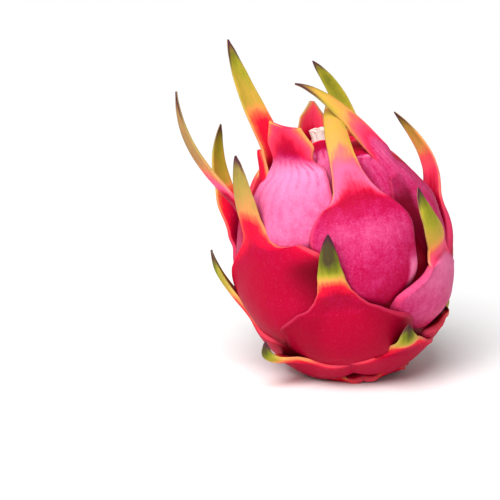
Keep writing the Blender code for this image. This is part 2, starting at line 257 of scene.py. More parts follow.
# %% Rows along a scale
SHIELD_SHARE = 0.4           # the share of a scale's run that hugs the body
SHIELD_SWELL = 3.2 * MM      # how far the face of a full shield stands out
FULL_SHIELD = 24             # the half width of a full shield, in mm
ROOT_DEPTH = 4.5 * MM        # how far the back of the shield reaches into the body
BLADE_HALF_THICKNESS = 1.2 * MM
POINT_HALF_THICKNESS = 0.5 * MM
RIM_LIFT = 1.8 * MM
ROOT_SINK = 2.0 * MM
SHINGLE = 1.6 * MM           # how far the shield tilts, with its root in and its lift out
NARROWING = 0.09             # the share of the run over which a trimmed end narrows
GUTTER = 1.9                 # the radius that a blade is bent to, in half widths
LEAST_GUTTER = 4 * MM
RUN_STEP = 0.004             # the step for measuring a direction along the run


def half_width(scale, run):
    """Half the width across the rims: a broad shield that runs out into a narrow blade."""
    if run < scale.widest:
        shield = between(run, [(0, 0.5), (0.2, 1), (scale.widest, 1)])
    else:
        shoulder = WIDEST_RUN + (run - scale.widest) / scale.ease
        shield = straight(shoulder, [(0.28, 1), (0.32, 0.9), (0.36, 0.7), (0.4, 0.46), (0.44, 0.27),
                                     (0.5, 0.12), (0.58, 0.04), (0.68, 0)])
    blade = straight(run, [(0, 1), (0.5, 1), (0.72, 0.8), (0.86, 0.56), (0.95, 0.3), (1, 0.05)])
    trim = scale.narrow * straight(run, [(scale.kept - NARROWING, 0), (scale.kept, 1)])
    return (scale.blade * blade + (scale.half_width - scale.blade) * shield) * MM * (1 - trim)


def swell(scale, run):
    """How far the face of a scale stands out of its middle surface."""
    high = BLADE_HALF_THICKNESS
    shield = SHIELD_SWELL * scale.half_width / FULL_SHIELD
    return between(run, [(0, 0.3 * MM), (0.22, shield), (0.5, high), (0.8, high),
                         (1, POINT_HALF_THICKNESS)])


def backing(run):
    """How far the back of a scale is behind its middle surface."""
    low = BLADE_HALF_THICKNESS
    return between(run, [(0, ROOT_DEPTH), (0.3, ROOT_DEPTH), (0.46, low), (0.8, low),
                         (1, POINT_HALF_THICKNESS)])


def rim_rise(run):
    """How far the rims stand off the line that hugs the body: sunk at the root, proud at the lift."""
    return between(run, [(0, -ROOT_SINK), (0.2, -0.3 * ROOT_SINK), (0.36, RIM_LIFT), (0.5, 0.0)])


def shield_place(scale, run):
    """The turn and latitude of the skin under the shield's middle."""
    share = min(1, run / SHIELD_SHARE)
    return scale.turn + scale.drift * (1 - share), scale.root + (scale.lift - scale.root) * share


def shield_bend(scale, run):
    """The radius that the body bends to across the scale."""
    turn, latitude = shield_place(scale, run)
    radius, _ = body_profile(latitude)
    upright = leaned((0, 0, 1))
    level = math.sqrt(max(0.05, 1 - skin_normal(turn, latitude).dot(upright) ** 2))
    return radius / level


def blade_curve(points, share):
    """A Bezier curve through its first and last control points."""
    order = len(points) - 1
    return sum((math.comb(order, i) * (1 - share) ** (order - i) * share ** i * point
                for i, point in enumerate(points)), Vector())


def centre_line(scale, run):
    """The middle of the scale at a share of its run, from the body's centre."""
    if run <= SHIELD_SHARE:
        turn, latitude = shield_place(scale, run)
        tilt = SHINGLE * (2 * run / SHIELD_SHARE - 1)
        return skin_point(turn, latitude) + skin_normal(turn, latitude) * tilt
    start = centre_line(scale, SHIELD_SHARE)
    heading = (start - centre_line(scale, SHIELD_SHARE - 0.01)).normalized()
    via, tip = Vector(scale.via) * MM, Vector(scale.tip) * MM
    aim = Vector(scale.aim).normalized()
    near = start + heading * 0.35 * (via - start).length
    far = tip - aim * 0.45 * (tip - via).length
    share = (run - SHIELD_SHARE) / (1 - SHIELD_SHARE)
    return blade_curve([start, near, via, far, tip], share)


def row_frame(scale, run):
    """The middle of a row, with the directions along the scale, across it and out of its face."""
    middle = centre_line(scale, run)
    along = (centre_line(scale, run + RUN_STEP) - centre_line(scale, run - RUN_STEP)).normalized()
    a = math.radians(shield_place(scale, run)[0])
    side = leaned((-math.sin(a), math.cos(a), 0))
    side = (side - along * side.dot(along)).normalized()
    twist = math.radians(scale.twist) * between(run, [(SHIELD_SHARE - 0.05, 0), (0.75, 1)])
    side = Matrix.Rotation(-twist, 3, along) @ side
    return middle, along, side, side.cross(along)


print("the shield is", round(100 * SHIELD_SHARE), "% of a scale's run")

# %% [markdown]
# ## How ripe each part is
# The colour of a scale follows its run: magenta on the shield, red where the blade starts, then
# orange, yellow-olive, green and a dry brown point. A number from 0 to 1 says how far a row has got,
# and the material turns it into colour. Sheltered scales stay pink, and the trimmed ones end early.

# %% Ripeness and tint of each scale
# ripe: (run, ripeness) keys along the middle, from 0 crimson over 0.4 orange and 0.6 yellow to 1 green
# pale: how washed-out the shield is, and below 0 painted shade that keeps a low scale deeper crimson;
# pale_from, pale_to: the runs where that starts and ends
# fold: how deep its upright pleats are, from 0 to 1
# pinch: how much narrower the scale is just above the shield
# blush: how far the blade's reds are washed out to a peachy pink, from 0 to 1
# proud: how far the shield stands out beyond a plain one; collar: the same for its upper rims
# left, right: (run, rise) keys of each margin; these four in mm
# edging: how much riper the margins are than the middle; dull: how brown the ripe part is
# hem_left, hem_right: (run, tint) keys of painted light on each margin, where -1 is
# painted shade in dark crimson. Above 0 the right one is a painted pale highlight, and the left one keeps
# the painted shade of the hollows off its rows
PLAIN_RIPE = ((0.42, 0.1), (0.6, 0.34), (0.72, 0.6), (0.86, 0.86), (1, 1))
SHELTERED_RIPE = ((0.62, 0), (0.7, 0.1), (0.8, 0.12))
# painted shade on the margins of sheltered and low scales
SHELTERED_PAINTED_SHADE = ((0.1, -0.7), (0.34, -0.45), (0.44, 0))
LOW_PAINTED_SHADE = ((0.4, -0.3), (0.6, 0))
LEVEL = ((0, 0), (1, 0))
Look = namedtuple(
    "Look",
    "ripe pale pale_to fold pinch blush proud collar left right edging dull hem_left hem_right pale_from",
    defaults=[PLAIN_RIPE, 0, 0.34, 0.1, 0, 0, 0, 0.8, LEVEL, LEVEL, 0, 0, LEVEL, LEVEL, 0.2])
LOOKS = {
    "crown_left_tall": Look(
        ((0.36, 0.1), (0.42, 0.24), (0.66, 0.3), (0.74, 0.6), (0.94, 0.74), (1, 0.5)), collar=0),
    "crown_front_trimmed": Look(
        ((0.5, 0), (0.56, 0.12), (0.64, 0.2), (0.69, 0.3)), pale=1.22, pale_from=0.28, pale_to=0.5,
        fold=1, pinch=0.25, blush=0.3, collar=1, edging=0.1),
    "crown_front_small": Look(
        ((0.7, 0), (0.78, 0.1), (0.84, 0.12)), pale=0.7, pale_to=0.66, fold=0.9, proud=-1, collar=-1),
    "crown_right_small": Look(
        SHELTERED_RIPE, pale=0.8, pale_from=0.44, pale_to=0.6, fold=0.8, proud=-1, collar=-1,
        hem_left=SHELTERED_PAINTED_SHADE, hem_right=SHELTERED_PAINTED_SHADE),
    "crown_right_rear": Look(
        SHELTERED_RIPE, pale=0.5, pale_to=0.6, fold=0.8, proud=0.3, collar=0,
        left=((0.15, 0), (0.3, -1.5), (0.6, -1.5), (0.8, -0.5))),
    "crown_left_small": Look(((0.3, 0.1), (0.45, 0.22), (0.9, 0.26)), proud=-1, collar=-1),
    "crown_back_tall": Look(((0.4, 0.2), (0.55, 0.5), (0.7, 0.72), (0.9, 0.8), (1, 0.8)), collar=0),
    "crown_back_trimmed": Look(
        ((0.5, 0.06), (0.6, 0.26), (0.7, 0.36), (0.74, 0.44)), pale=0.4, blush=0.3, collar=0,
        edging=0.1, dull=0.9),
    "front_strap": Look(
        ((0.38, 0.04), (0.48, 0.2), (0.55, 0.31), (0.61, 0.44), (0.67, 0.52), (0.78, 0.57), (1, 0.55)),
        pale=0.41, blush=0.9, proud=1.5, collar=2.2,
        hem_right=((0.04, 0), (0.09, 1), (0.17, 1), (0.24, 0))),
    "right_strap": Look(
        ((0.5, 0), (0.66, 0.14), (0.74, 0.34), (0.82, 0.52), (0.9, 0.6), (1, 0.62)),
        pale=0.52, pale_to=0.7, fold=0.25, blush=0.35, collar=-0.5, edging=0.04,
        left=((0.04, 0), (0.13, -3), (0.3, -3), (0.44, 0)),
        right=((0.28, 0), (0.36, -2.5), (0.5, -2.5), (0.6, 0)),
        hem_left=((0.06, 0), (0.12, -1), (0.33, -1), (0.38, -0.45), (0.45, -0.2), (0.51, 0))),
    "left_long": Look(
        ((0.42, 0), (0.58, 0.13), (0.66, 0.42), (0.8, 0.66), (1, 0.7)), pale=0.3, blush=0.8, collar=0,
        dull=0.7),
    "left_back": Look(
        ((0.4, 0.03), (0.5, 0.12), (0.6, 0.17), (0.66, 0.36), (0.7, 0.62), (0.85, 0.72), (1, 0.78)),
        edging=-0.05, right=((0.38, 0), (0.48, 3.4), (0.6, 3.4), (0.72, 0))),
    "right_back": Look(
        ((0.3, -0.3), (0.42, 0.08), (0.64, 0.28), (0.78, 0.5), (0.9, 0.64), (1, 0.7)), blush=0.3,
        edging=-0.12, dull=0.2, hem_left=((0.2, 0.75), (0.56, 0.75), (0.66, 0))),
    # pale below 0: painted shade, deeper crimson low on the fruit
    "front_left": Look(
        ((0.42, 0.1), (0.6, 0.26), (0.7, 0.52), (0.86, 0.74), (1, 0.9)), pale=-0.1, collar=3.6, dull=0.4,
        right=((0.04, 0), (0.12, -4), (0.26, -4), (0.36, 0)),
        hem_right=((0.04, -0.9), (0.33, -0.9), (0.37, 0))),
    # pale below 0: painted shade, deeper crimson low on the fruit
    "front_low": Look(
        ((0.4, 0.03), (0.57, 0.1), (0.64, 0.22), (0.7, 0.46), (0.76, 0.8), (0.84, 0.97), (1, 1)),
        pale=-0.2, collar=2, hem_left=LOW_PAINTED_SHADE, hem_right=LOW_PAINTED_SHADE),
    "right_low": Look(
        ((0.1, -0.2), (0.3, -0.06), (0.44, 0.14), (0.5, 0.28), (0.58, 0.48), (0.75, 0.7), (1, 0.84)),
        pale=0.78, pale_to=0.44, blush=0.6, proud=1, edging=-0.05,
        left=((0.1, 0), (0.34, 2), (0.5, 1), (0.7, 0)),
        right=((0.1, 0), (0.34, -2), (0.5, -1), (0.7, 0))),
}
print("scales with a look of their own:", len(LOOKS))

# %% [markdown]
# ## A guide for each scale
# The rows go into a small mesh that has points and no faces. Each point carries its directions and
# sizes as named attributes, which Geometry Nodes can read. A last row of zero size closes the tip.

# %% Guide rows
SHIELD_ROWS = 30
BLADE_ROWS = 40
FIRST_RUN = 0.005            # where the first full row lies
EDGE_WAVE = 0.035            # how far the rims wander, as a share of the width
WAVE_COUNT = 7
WAVE_STEP = 3.1              # sets the waves of each scale apart from those of the next
VECTORS = ("along", "side", "outward")
SHAPE_NUMBERS = ("wide", "bend", "swell", "back", "rim", "left", "right", "slope", "fold")
SKIN_NUMBERS = ("run", "ripe", "pale", "blush", "edging", "dull", "hem_left", "hem_right", "length", "seed")
NUMBERS = (*SHAPE_NUMBERS, *SKIN_NUMBERS)


def guide_rows(scale, number):
    """Dictionaries with the numbers of each row of one scale."""
    look = LOOKS.get(scale.name, Look())
    runs = [FIRST_RUN + SHIELD_SHARE * r / SHIELD_ROWS for r in range(SHIELD_ROWS)]
    free = scale.kept - SHIELD_SHARE
    runs += [SHIELD_SHARE + free * r / BLADE_ROWS for r in range(BLADE_ROWS + 1)]
    rows = []
    length = 0
    for run in runs:
        middle, along, side, outward = row_frame(scale, run)
        if rows:
            length += (middle - rows[-1]["middle"]).length
        wide = half_width(scale, run)
        trough = max(GUTTER * wide, LEAST_GUTTER)
        wide *= 1 - look.pinch * between(run, [(0.46, 0), (0.54, 1), (0.63, 0)])
        wave = noise.noise(Vector((run * WAVE_COUNT, number * WAVE_STEP, 0.5)))
        proud = look.proud * MM * between(run, [(0.04, 0), (0.22, 1), (0.34, 1), (0.48, 0)])
        collar = look.collar * MM * between(run, [(0.2, 0), (0.36, 1), (0.44, 0.6), (0.54, 0)])
        paleness = between(run, [(0.02, 0.1), (look.pale_from, 0.6), (look.pale_to - 0.03, 1),
                                 (look.pale_to + 0.11, 0)])
        folding = between(run, [(0.2, 0), (0.34, 0.35), (look.pale_to - 0.06, 1), (look.pale_to, 1),
                                (look.pale_to + 0.06, 0)])
        rows.append(dict(
            middle=middle, along=along, side=side, outward=outward, run=run, length=length, seed=number,
            wide=wide * (1 + EDGE_WAVE * wave), back=backing(run), swell=swell(scale, run) + proud,
            rim=rim_rise(run) + collar, fold=look.fold * folding,
            bend=between(run, [(SHIELD_SHARE - 0.05, shield_bend(scale, run)), (0.55, trough)]),
            slope=scale.slant * between(run, [(SHIELD_SHARE, 0), (scale.kept, 1)]),
            left=MM * between(run, look.left), right=MM * between(run, look.right),
            ripe=straight(run, [(0, 0), *look.ripe, (1.1, 1)]), edging=look.edging, dull=look.dull,
            pale=look.pale * paleness, blush=look.blush,
            hem_left=between(run, look.hem_left), hem_right=between(run, look.hem_right)))
    first, last = dict(rows[0]), dict(rows[-1])
    for end in (first, last):
        end.update(wide=0, swell=0, back=0, rim=0)
    return [first, *rows, last]


def guide_mesh(scale, number):
    rows = guide_rows(scale, number)
    mesh = bpy.data.meshes.new(scale.name)
    mesh.from_pydata([row["middle"] + BODY_CENTRE for row in rows], [], [])
    for name in VECTORS:
        values = mesh.attributes.new(name, "FLOAT_VECTOR", "POINT").data
        values.foreach_set("vector", [x for row in rows for x in row[name]])
    for name in NUMBERS:
        values = mesh.attributes.new(name, "FLOAT", "POINT").data
        values.foreach_set("value", [row[name] for row in rows])
    return mesh


print("rows in a scale:", SHIELD_ROWS + BLADE_ROWS + 3)

# %% [markdown]
# ## Helpers for node trees
# Geometry and shader trees are built in code here. These helpers add a node, fill its sockets with
# values or links, and do sums, so that a tree reads like the formula that it stands for.

# %% Node helpers


def add_node(tree, kind, inputs=(), **settings):
    """Adds a node and fills its inputs, by name or number, with values or links."""
    node = tree.nodes.new(kind)
    for key, value in settings.items():
        setattr(node, key, value)
    for key, value in dict(inputs).items():
        if isinstance(value, bpy.types.NodeSocket):
            tree.links.new(value, node.inputs[key])
        else:
            node.inputs[key].default_value = value
    return node


class Sums:
    """Arithmetic on the sockets of one tree."""

    def __init__(self, tree):
        self.tree = tree

    def maths(self, operation, *values):
        return add_node(self.tree, "ShaderNodeMath", enumerate(values), operation=operation).outputs[0]

    def add(self, *values):
        total = values[0]
        for value in values[1:]:
            total = self.maths("ADD", total, value)
        return total

    def times(self, *values):
        total = values[0]
        for value in values[1:]:
            total = self.maths("MULTIPLY", total, value)
        return total

    def less(self, a, b):
        return self.maths("SUBTRACT", a, b)

    def sway(self, value, *factors):
        """A value from 0 to 1 as a sway to both sides of 0, times the factors."""
        return self.times(self.less(value, 0.5), *factors)

    def smooth(self, value, low, high):
        """0 below low, 1 above high, and a smooth step between them."""
        inputs = {"Value": value, "From Min": low, "From Max": high}
        node = add_node(self.tree, "ShaderNodeMapRange", inputs, interpolation_type="SMOOTHSTEP")
        return node.outputs["Result"]

    def mix(self, share, a, b):
        """a where the share is 0 and b where it is 1."""
        return self.maths("ADD", a, self.times(share, self.less(b, a)))

    def scaled(self, vector, factor):
        node = add_node(self.tree, "ShaderNodeVectorMath", {0: vector, "Scale": factor}, operation="SCALE")
        return node.outputs[0]

    def vectors(self, *values):
        total = values[0]
        for value in values[1:]:
            node = add_node(self.tree, "ShaderNodeVectorMath", {0: total, 1: value}, operation="ADD")
            total = node.outputs[0]
        return total

    def noise(self, vector, scale, detail=2.0, roughness=0.5):
        """Noise from 0 to 1 at this many waves a metre."""
        inputs = {"Vector": vector, "Scale": scale, "Detail": detail, "Roughness": roughness}
        return add_node(self.tree, "ShaderNodeTexNoise", inputs).outputs[0]


def add_sockets(tree, direction, *sockets):
    """Gives a tree named sockets, each from a name, a kind and a first value or None."""
    for name, kind, value in sockets:
        socket = tree.interface.new_socket(name, in_out=direction, socket_type="NodeSocket" + kind)
        if value is not None:
            socket.default_value = value


def stored(tree, shape, name, value):
    """Keeps a value at every point of a shape, as a named attribute."""
    inputs = {"Geometry": shape, "Name": name, "Value": value}
    node = add_node(tree, "GeometryNodeStoreNamedAttribute", inputs, data_type="FLOAT", domain="POINT")
    return node.outputs[0]


def end_tree(tree, shape, material):
    """Makes the shape plain, gives it its material and sends it out of the tree."""
    plain = add_node(tree, "GeometryNodeRealizeInstances", {"Geometry": shape}).outputs[0]
    made = add_node(tree, "GeometryNodeSetMaterial", {"Geometry": plain, "Material": material}).outputs[0]
    add_node(tree, "NodeGroupOutput", {0: made})


print("helpers for sums:", [name for name in vars(Sums) if not name.startswith("_")])

# %% [markdown]
# ## Growing a scale with Geometry Nodes
# The tree lays a grid over the guide: one line of the grid for each row, bent round the lens-shaped
# section by its formula. More of the points go to the face than to the back, because the face has the
# relief: a bead along each rim, upright pleats and soft lumps. The seam and the ends are merged shut.

# %% The tree that grows a scale
POINTS_ROUND = 64            # points round a section
FACE_SHARE = 0.68            # the share of a section's points that lie on its face
EVENNESS = 0.55              # 0 crowds the face's points at the rims, 1 spaces them evenly
SEAM_SLACK = 1e-4            # keeps the face's last point on the face
RIDGE_POWER = 0.7            # under 1 makes the section fuller than an ellipse
LUMP_SIZE = 9 * MM
WANDER_WAVES = 90            # waves a metre of the noise that bends the pleats
PATCH_WAVES = 70             # waves a metre of the patches where the pleats are deep
FULL_LUMPS = 60              # lumps reach their full height from 1/60 m of half width
BEAD_UP, BEAD_DOWN = (0.8, 0.93), (0.95, 1)        # places across between which the bead rises and falls
BEAD_START, BEAD_END = (0.2, 0.34), (0.5, 0.9)     # the runs where it comes and goes
SMOOTH_RIM = (0.7, 0.95)     # places across where pleats and lumps die out
MERGE_REACH = 0.002 * MM     # points closer than this are merged


def sampled(tree, guide, row, name, kind):
    """A named attribute of the guide, read at a row."""
    field = add_node(tree, "GeometryNodeInputNamedAttribute", {"Name": name}, data_type=kind)
    inputs = {"Geometry": guide, "Value": field.outputs["Attribute"], "Index": row}
    return add_node(tree, "GeometryNodeSampleIndex", inputs, data_type=kind, domain="POINT").outputs[0]


def grid_tree():
    """A tree with named inputs, and a grid with one line of points for each row of the guide."""
    tree = bpy.data.node_groups.new("Grow a scale", "GeometryNodeTree")
    add_sockets(tree, "INPUT", ("Guide", "Geometry", None), ("Points Round", "Int", POINTS_ROUND),
                ("Rim Bead", "Float", 0.45 * MM), ("Pleat Depth", "Float", 1.0 * MM),
                ("Pleats", "Float", 9.0), ("Lump Height", "Float", 0.7 * MM),
                ("Lump Size", "Float", LUMP_SIZE), ("Skin", "Material", None))
    add_sockets(tree, "OUTPUT", ("Scale", "Geometry", None))
    entry = add_node(tree, "NodeGroupInput").outputs
    s = Sums(tree)
    points = s.maths("ADD", entry["Points Round"], 1)
    rows = add_node(tree, "GeometryNodeAttributeDomainSize", {"Geometry": entry["Guide"]},
                    component="MESH").outputs["Point Count"]
    grid = add_node(tree, "GeometryNodeMeshGrid", {"Vertices X": rows, "Vertices Y": points}).outputs["Mesh"]
    index = add_node(tree, "GeometryNodeInputIndex").outputs[0]
    row = s.maths("FLOOR", s.maths("DIVIDE", s.add(index, 0.5), points))
    column = s.less(index, s.times(row, points))
    share = s.maths("DIVIDE", column, entry["Points Round"])
    return tree, entry, s, grid, row, share


def section_place(s, share):
    """Across, from -1 to 1, and face, from 1 on the face to -1 on the back, at a share of the way round."""
    on_face = s.maths("LESS_THAN", share, FACE_SHARE + SEAM_SLACK)
    front = s.maths("MINIMUM", s.maths("DIVIDE", share, FACE_SHARE), 1)
    behind = s.maths("MAXIMUM", s.maths("DIVIDE", s.less(share, FACE_SHARE), 1 - FACE_SHARE), 0)
    crowded = s.maths("COSINE", s.times(front, math.pi))
    even = s.maths("MULTIPLY_ADD", front, -2, 1)
    across_front = s.add(s.times(crowded, 1 - EVENNESS), s.times(even, EVENNESS))
    across_behind = s.times(s.maths("COSINE", s.times(behind, math.pi)), -1)
    across = s.add(s.times(across_front, on_face), s.times(across_behind, s.less(1, on_face)))
    size = s.maths("SQRT", s.maths("MAXIMUM", s.less(1, s.times(across, across)), 0))
    face = s.times(size, s.maths("MULTIPLY_ADD", on_face, 2, -1))
    return across, face, on_face


def relief(s, entry, across, face, read, place):
    """The bead along the rims, the pleats and the soft lumps, out of the face."""
    far_out = s.maths("ABSOLUTE", across)
    run = read["run"]
    bead = s.times(s.smooth(far_out, *BEAD_UP), s.less(1, s.smooth(far_out, *BEAD_DOWN)), entry["Rim Bead"])
    bead = s.times(bead, s.smooth(run, *BEAD_START), s.less(1, s.smooth(run, *BEAD_END)))
    wander = s.sway(s.noise(place, WANDER_WAVES, 1), 5)
    phase = s.add(s.times(across, entry["Pleats"]), wander)
    crest = s.maths("ABSOLUTE", s.maths("SINE", phase))
    inside = s.less(1, s.smooth(far_out, *SMOOTH_RIM))
    pleat = s.times(s.less(s.maths("POWER", crest, 0.6), 1), entry["Pleat Depth"], read["fold"], inside)
    patchy = s.smooth(s.noise(place, PATCH_WAVES, 2), 0.25, 0.5)
    broad_enough = s.maths("MINIMUM", s.times(read["wide"], FULL_LUMPS), 1)
    soft = s.noise(place, s.maths("DIVIDE", 1, entry["Lump Size"]), 2)
    lumps = s.sway(soft, entry["Lump Height"], broad_enough, inside)
    # the pleats' creases, kept for the painted shade that darkens the shield in them
    crease = s.times(s.less(1, s.maths("POWER", crest, 0.5)), read["fold"], inside, patchy)
    return s.times(s.add(bead, s.times(pleat, patchy), lumps), s.smooth(face, 0, 0.3)), crease


def grow_tree():
    """The whole tree: bends the grid into a scale and stores what the skin's material reads."""
    tree, entry, s, grid, row, share = grid_tree()
    across, face, on_face = section_place(s, share)
    read = {name: sampled(tree, entry["Guide"], row, name, "FLOAT") for name in NUMBERS}
    read.update({name: sampled(tree, entry["Guide"], row, name, "FLOAT_VECTOR") for name in VECTORS})
    position = add_node(tree, "GeometryNodeInputPosition").outputs[0]
    middle = add_node(tree, "GeometryNodeSampleIndex",
                      {"Geometry": entry["Guide"], "Value": position, "Index": row},
                      data_type="FLOAT_VECTOR", domain="POINT").outputs[0]
    ridge = s.maths("POWER", s.maths("ABSOLUTE", face), RIDGE_POWER)
    lens = s.add(s.times(ridge, read["swell"], on_face), s.times(ridge, read["back"], s.less(on_face, 1)))
    left = s.times(read["left"], s.maths("MAXIMUM", s.times(across, -1), 0))
    right = s.times(read["right"], s.maths("MAXIMUM", across, 0))
    rise = s.add(lens, s.times(read["rim"], across, across), left, right)
    sideways = s.times(across, read["wide"])
    angle = s.maths("DIVIDE", sideways, read["bend"])
    sink = s.times(read["bend"], s.less(1, s.maths("COSINE", angle)))
    smooth_place = s.vectors(
        middle,
        s.scaled(read["side"], s.times(read["bend"], s.maths("SINE", angle))),
        s.scaled(read["along"], s.times(read["slope"], sideways)),
        s.scaled(read["outward"], s.less(rise, sink)))
    height, crease = relief(s, entry, across, face, read, smooth_place)
    place = s.vectors(smooth_place, s.scaled(read["outward"], height))
    shape = add_node(tree, "GeometryNodeSetPosition", {"Geometry": grid, "Position": place}).outputs[0]
    kept = {"across": across, "sideways": sideways, "crease": crease}
    kept.update({name: read[name] for name in SKIN_NUMBERS})
    for name, value in kept.items():
        shape = stored(tree, shape, name, value)
    inputs = {"Geometry": shape, "Distance": MERGE_REACH}
    end_tree(tree, add_node(tree, "GeometryNodeMergeByDistance", inputs).outputs[0], entry["Skin"])
    return tree


scale_tree = grow_tree()
print("nodes in the tree:", len(scale_tree.nodes))

# %% [markdown]
# ## The skin's material
# One material covers every scale. Ripeness picks the colour from a ramp, and noise and the distance
# from the middle shift it, so the rims ripen first and the bands have ragged edges. Fine specks,
# fibres along the blade and light that sinks a little way into the flesh do the rest.

# %% Colours


def srgb(red, green, blue):
    """A colour as a picture stores it, from 0 to 255, turned into the renderer's linear light."""
    def linear(c):
        c /= 255
        return c / 12.92 if c < 0.04045 else ((c + 0.055) / 1.055) ** 2.4
    return (linear(red), linear(green), linear(blue), 1)


CENTRE_COLOURS = [(0.0, srgb(196, 2, 56)), (0.12, srgb(222, 4, 52)), (0.3, srgb(232, 22, 54)),
                  (0.42, srgb(234, 96, 66)), (0.52, srgb(232, 152, 78)), (0.62, srgb(196, 160, 62)),
                  (0.75, srgb(158, 152, 42)), (0.88, srgb(106, 110, 28)), (1.0, srgb(72, 62, 36))]
# the rims' own riper colours, which also paint a pale highlight line along the shields' rims
RIM_AND_HIGHLIGHT_COLOURS = [(0.0, srgb(226, 74, 116)), (0.2, srgb(240, 96, 100)), (0.4, srgb(236, 170, 110)),
               (0.65, srgb(196, 180, 96)), (0.85, srgb(120, 110, 60)), (1.0, srgb(70, 44, 54))]
DRY_TIP = srgb(74, 32, 50)
DEEP_MAGENTA = srgb(170, 0, 44)
MAGENTA = srgb(190, 22, 94)
PALE_PINK = srgb(242, 128, 174)
PEACH_PINK = srgb(248, 102, 148)
MUTED_ROSE = srgb(150, 104, 84)
# the dark crimson of the painted shade in crevices and hollows
CREVICE_SHADE = srgb(104, 0, 20)
BODY_COLOURS = [(0.3, srgb(176, 0, 38)), (0.5, srgb(222, 8, 52)), (0.75, srgb(236, 60, 100))]
STUB_COLOURS = [(0.3, srgb(206, 120, 128)), (0.45, srgb(238, 214, 206)), (0.62, srgb(250, 244, 236)),
                (0.8, srgb(222, 190, 150))]


def ramp(tree, value, stops):
    node = add_node(tree, "ShaderNodeValToRGB", {"Fac": value})
    elements = node.color_ramp.elements
    while len(elements) < len(stops):
        elements.new(1.0)
    for element, (position, colour) in zip(elements, stops):
        element.position = position
        element.color = colour
    return node.outputs["Color"]


def mixed(tree, factor, a, b):
    """Colour a where the factor is 0 and colour b where it is 1."""
    return add_node(tree, "ShaderNodeMix", {"Factor": factor, 6: a, 7: b}, data_type="RGBA").outputs[2]


def attribute(tree, name):
    return add_node(tree, "ShaderNodeAttribute", attribute_name=name).outputs["Fac"]


print("colour stops:", len(CENTRE_COLOURS), "on the blade,", len(RIM_AND_HIGHLIGHT_COLOURS), "on the rim")

# %% [markdown]
# ## Effects that the materials share
# Skin, body and stub all have a fine grain, which roughens them and lifts a bump, and the scales and the
# body both get painted shade in their hollows. Each effect is a group of nodes, built once. A material
# places the group with values of its own and feeds what comes out of it to its shader.

# %% Groups for grain and shade
GRAIN_DETAIL = 4
FLESH = dict(Subsurface_Weight=0.12, Subsurface_Radius=(1.0, 0.2, 0.2), Subsurface_Scale=2 * MM,
             Specular_IOR_Level=0.05)


def new_material(name, **constants):
    """A material with constant values on the shader's own sockets."""
    material = bpy.data.materials.new(name)
    material.use_nodes = True
    shader = material.node_tree.nodes["Principled BSDF"]
    for key, value in constants.items():
        shader.inputs[key.replace("_", " ")].default_value = value
    return material, material.node_tree, shader


def grain_group():
    group = bpy.data.node_groups.new("Grain", "ShaderNodeTree")
    add_sockets(group, "INPUT", ("Place", "Vector", None), ("Waves", "Float", 400.0),
                ("Harshness", "Float", 0.6), ("Dullness", "Float", 0.5), ("Variation", "Float", 0.3))
    add_sockets(group, "OUTPUT", ("Height", "Float", None), ("Roughness", "Float", None))
    entry = add_node(group, "NodeGroupInput").outputs
    s = Sums(group)
    height = s.noise(entry["Place"], entry["Waves"], GRAIN_DETAIL, entry["Harshness"])
    rough = s.add(entry["Dullness"], s.sway(height, entry["Variation"]))
    add_node(group, "NodeGroupOutput", {"Height": height, "Roughness": rough})
    return group


def shade_group():
    group = bpy.data.node_groups.new("Hollow shade", "ShaderNodeTree")
    add_sockets(group, "INPUT", ("Hollow", "Float", 0.0), ("From", "Float", 0.3), ("To", "Float", 0.9),
                ("Strength", "Float", 1.0))
    add_sockets(group, "OUTPUT", ("Shade", "Float", None))
    entry = add_node(group, "NodeGroupInput").outputs
    s = Sums(group)
    deep = s.smooth(entry["Hollow"], entry["From"], entry["To"])
    add_node(group, "NodeGroupOutput", {"Shade": s.times(deep, entry["Strength"])})
    return group


grain_nodes = grain_group()
shade_nodes = shade_group()


def grain(tree, place, waves, harshness, dullness, variation):
    """Height and roughness of the shared grain."""
    inputs = {"Place": place, "Waves": waves, "Harshness": harshness, "Dullness": dullness,
              "Variation": variation}
    node = add_node(tree, "ShaderNodeGroup", inputs, node_tree=grain_nodes)
    return node.outputs["Height"], node.outputs["Roughness"]


def shade_of(tree, hollow, low, high, strength=1.0):
    """How much painted shade a hollow gets, from nothing at low to its full strength at high."""
    inputs = {"Hollow": hollow, "From": low, "To": high, "Strength": strength}
    return add_node(tree, "ShaderNodeGroup", inputs, node_tree=shade_nodes).outputs["Shade"]


def dress(tree, shader, colour, rough, height, strength, depth):
    """Feeds a shader its colour, its roughness and a bump from a height."""
    bump = add_node(tree, "ShaderNodeBump", {"Height": height, "Strength": strength, "Distance": depth})
    for name, value in (("Base Color", colour), ("Roughness", rough), ("Normal", bump.outputs["Normal"])):
        tree.links.new(value, shader.inputs[name])


print("groups:", grain_nodes.name, "and", shade_nodes.name)

# %% [markdown]
# ## How the skin's colour is put together
# The blade and the shield have colours of their own, and the stage of ripeness says where one takes
# over from the other. The helpers read what the tree stored on a scale, vary it with noise and give
# the stage, the painted light and shade of the margins and the two colours. Waves are counted in a metre.

# %% Parts of the skin's colour
FIBRE_WAVES = 900
FIBRE_DRAWN = 0.09           # under 1 draws the fibres out along the blade
FIBRE_STEP = 0.05            # sets the fibres of each scale apart from those of the next
BROAD_WAVES = 130
BLOTCH_WAVES = 380
SPECK_WAVES = 1500
SPECK_HARSHNESS = 0.6
CENTRE_SPREAD = 1.2          # how fast the middle of a row ripens, and its margins
MARGIN_SPREAD = 0.6
MARGIN_START = 0.58
RIM_POWER = 1.7              # a higher power keeps the margins' colour nearer the rims
BLUSH_POWER = 1.6
BROAD_SHIFT = 0.22           # how far the noises shift the stage
FIBRE_SHIFT = 0.12
